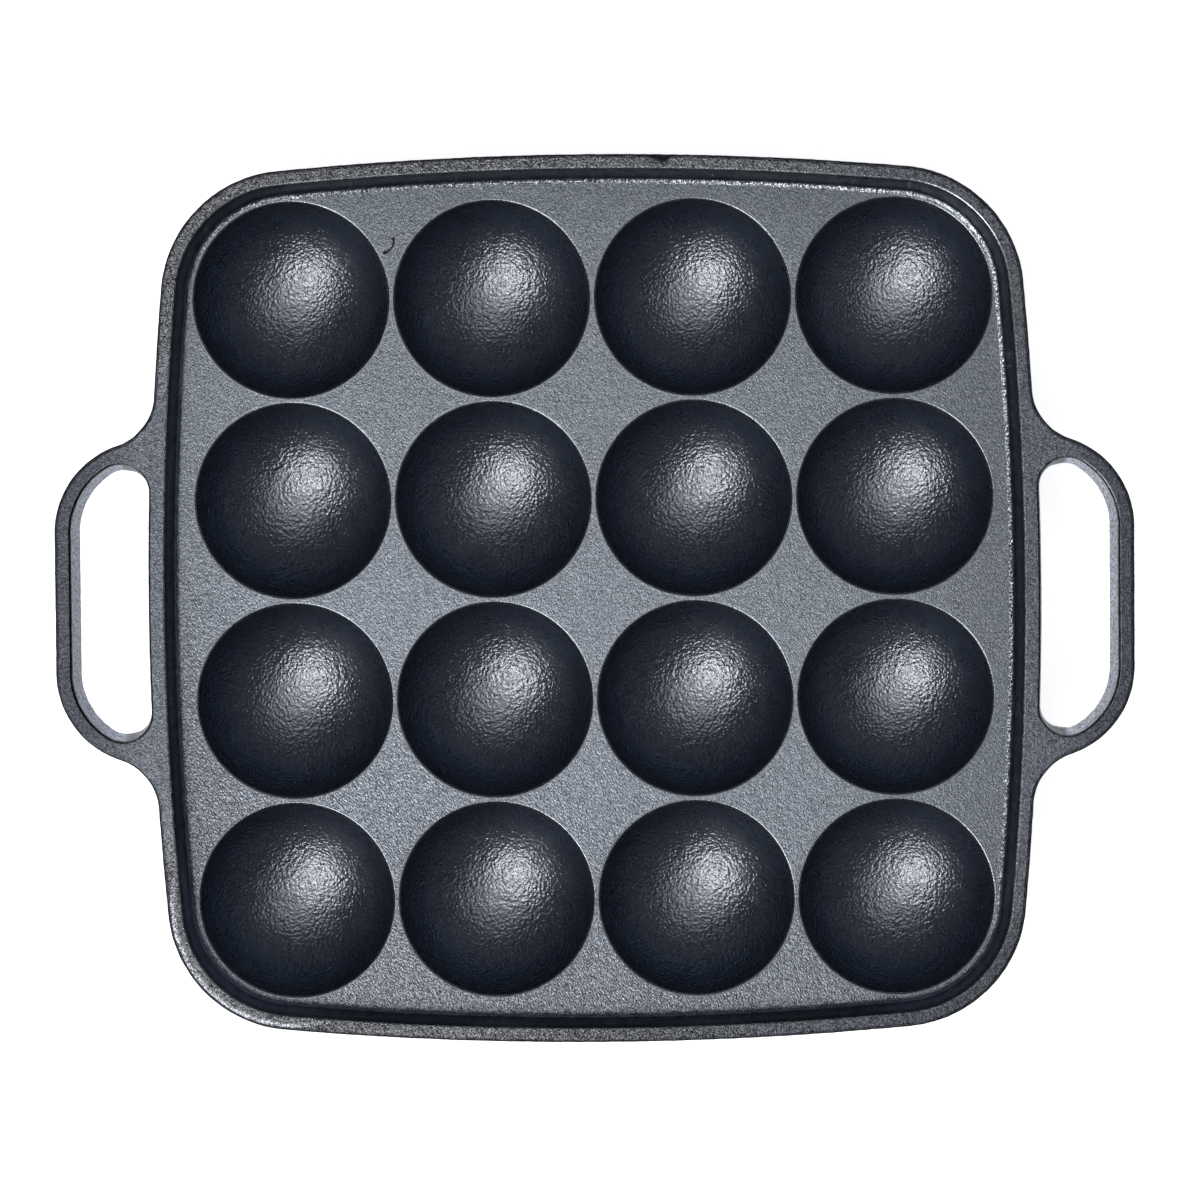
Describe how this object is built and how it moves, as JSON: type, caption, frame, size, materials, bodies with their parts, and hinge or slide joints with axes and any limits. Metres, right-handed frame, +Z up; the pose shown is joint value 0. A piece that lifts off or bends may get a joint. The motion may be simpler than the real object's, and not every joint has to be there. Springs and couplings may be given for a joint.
{
  "type": "takoyaki pan",
  "caption": "Square cast-iron takoyaki pan with a grid of half-round wells in a sunk deck, a low rim and a loop handle at each side.",
  "frame": {"origin": "centre of the footprint, on the plane that the flat tips of the cups rest on", "axes": "+Z up, +X along the handles to the right handle, +Y to the back row of wells"},
  "size_m": [0.2222, 0.183, 0.029],
  "materials": {
    "seasoned_iron": "satin black seasoned sand casting"
  },
  "bodies": {
    "root": {"deck_plate": "seasoned_iron", "rim_wall": "seasoned_iron", "left_handle": "seasoned_iron", "right_handle": "seasoned_iron", "cup_r1_c1": "seasoned_iron", "cup_r1_c2": "seasoned_iron", "cup_r1_c3": "seasoned_iron", "cup_r1_c4": "seasoned_iron", "cup_r2_c1": "seasoned_iron", "cup_r2_c2": "seasoned_iron", "cup_r2_c3": "seasoned_iron", "cup_r2_c4": "seasoned_iron", "cup_r3_c1": "seasoned_iron", "cup_r3_c2": "seasoned_iron", "cup_r3_c3": "seasoned_iron", "cup_r3_c4": "seasoned_iron", "cup_r4_c1": "seasoned_iron", "cup_r4_c2": "seasoned_iron", "cup_r4_c3": "seasoned_iron", "cup_r4_c4": "seasoned_iron"}
  },
  "joints": []
}
